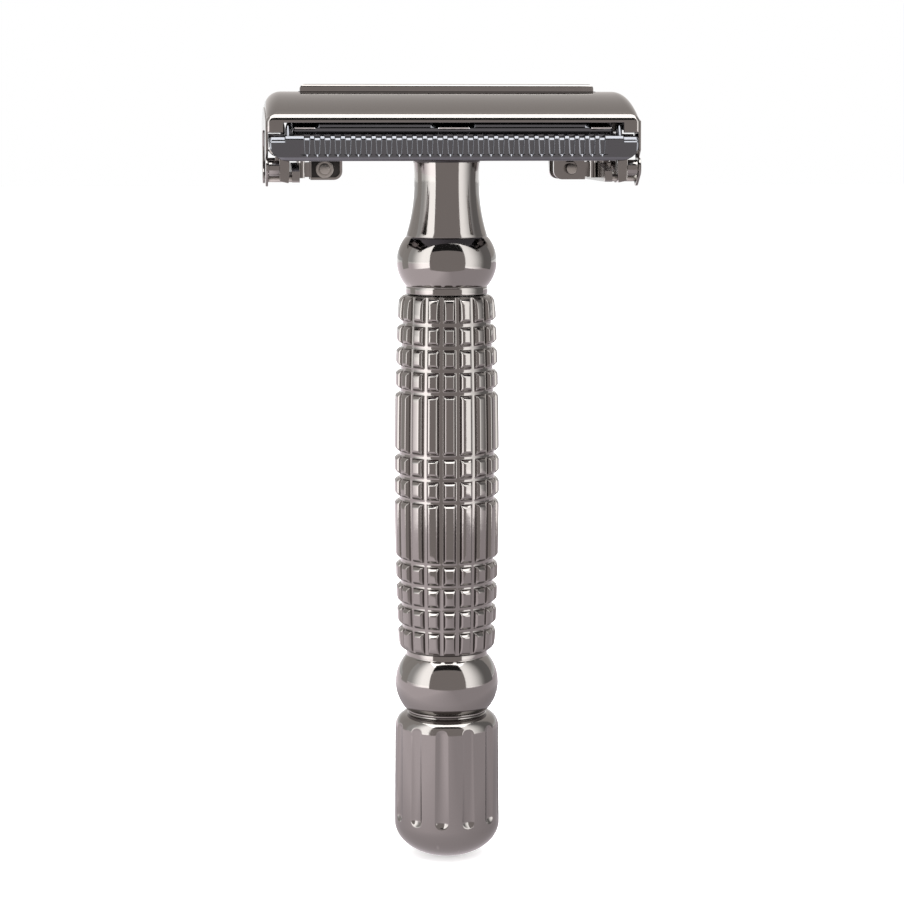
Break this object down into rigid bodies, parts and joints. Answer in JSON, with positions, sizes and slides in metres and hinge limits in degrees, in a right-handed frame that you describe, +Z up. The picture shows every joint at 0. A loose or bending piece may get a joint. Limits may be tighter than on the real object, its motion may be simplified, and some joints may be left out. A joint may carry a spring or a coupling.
{
  "type": "double-edge safety razor",
  "caption": "Twist-to-open double-edge safety razor: ribbed handle, fluted knob that raises a rod and crossbar, and paired doors that swing open over the blade bed.",
  "frame": {"origin": "on the handle axis at the lowest point of the knob", "axes": "+Z up the handle axis to the head, +X along the head, -Y to the front door"},
  "size_m": [0.0428, 0.022, 0.0926],
  "materials": {
    "gunmetal_handle": "polished gunmetal plating",
    "gunmetal_knob": "polished gunmetal plating",
    "gunmetal_head": "polished gunmetal plating",
    "gunmetal_doors": "polished gunmetal plating",
    "dark_chrome": "polished dark chrome plating, slightly blue",
    "pin_steel": "turned steel",
    "bronze": "plain bearing bronze"
  },
  "bodies": {
    "handle": {"handle_body": "gunmetal_handle", "neck_bush": "bronze", "guard_plate": "dark_chrome", "head_nut": "pin_steel", "blade_bed": "dark_chrome", "centre_bar": "gunmetal_head", "bar_rivets": "pin_steel", "left_end_bracket": "gunmetal_head", "right_end_bracket": "gunmetal_head", "bracket_screws": "pin_steel", "door_pivot_pins": "pin_steel", "pivot_spacers": "gunmetal_head", "thrust_washer": "gunmetal_knob", "drag_washer": "pin_steel", "retaining_ring": "pin_steel"},
    "knob": {"knob": "gunmetal_knob", "knob_bush": "bronze"},
    "lift": {"lift_rod": "pin_steel", "crossbar": "gunmetal_head", "crossbar_nut": "pin_steel", "left_lift_arm": "gunmetal_head", "right_lift_arm": "gunmetal_head", "arm_pins": "pin_steel", "pin_washers": "pin_steel", "drive_pins": "pin_steel"},
    "front_door": {"front_door": "gunmetal_doors"},
    "rear_door": {"rear_door": "gunmetal_doors"}
  },
  "joints": [
    {"name": "knob_turn", "type": "hinge", "parent": "handle", "child": "knob", "pos_m": [0, 0, 0.009], "axis": [0, 0, 1], "range_deg": [0, 540]},
    {"name": "rod_lift", "type": "slide", "parent": "handle", "child": "lift", "axis": [0, 0, 1], "range_m": [0, 0.0024]},
    {"name": "front_door_swing", "type": "hinge", "parent": "handle", "child": "front_door", "pos_m": [0, -0.009, 0.0831], "axis": [1, 0, 0], "range_deg": [0, 77.32]},
    {"name": "rear_door_swing", "type": "hinge", "parent": "handle", "child": "rear_door", "pos_m": [0, 0.009, 0.0831], "axis": [-1, 0, 0], "range_deg": [0, 77.32]}
  ],
  "couplings": [
    {"joint": "knob_turn", "follows": "rod_lift", "rad_per_m": 3927},
    {"joint": "front_door_swing", "follows": "rod_lift", "rad_per_m": 562.28},
    {"joint": "rear_door_swing", "follows": "rod_lift", "rad_per_m": 562.28}
  ]
}
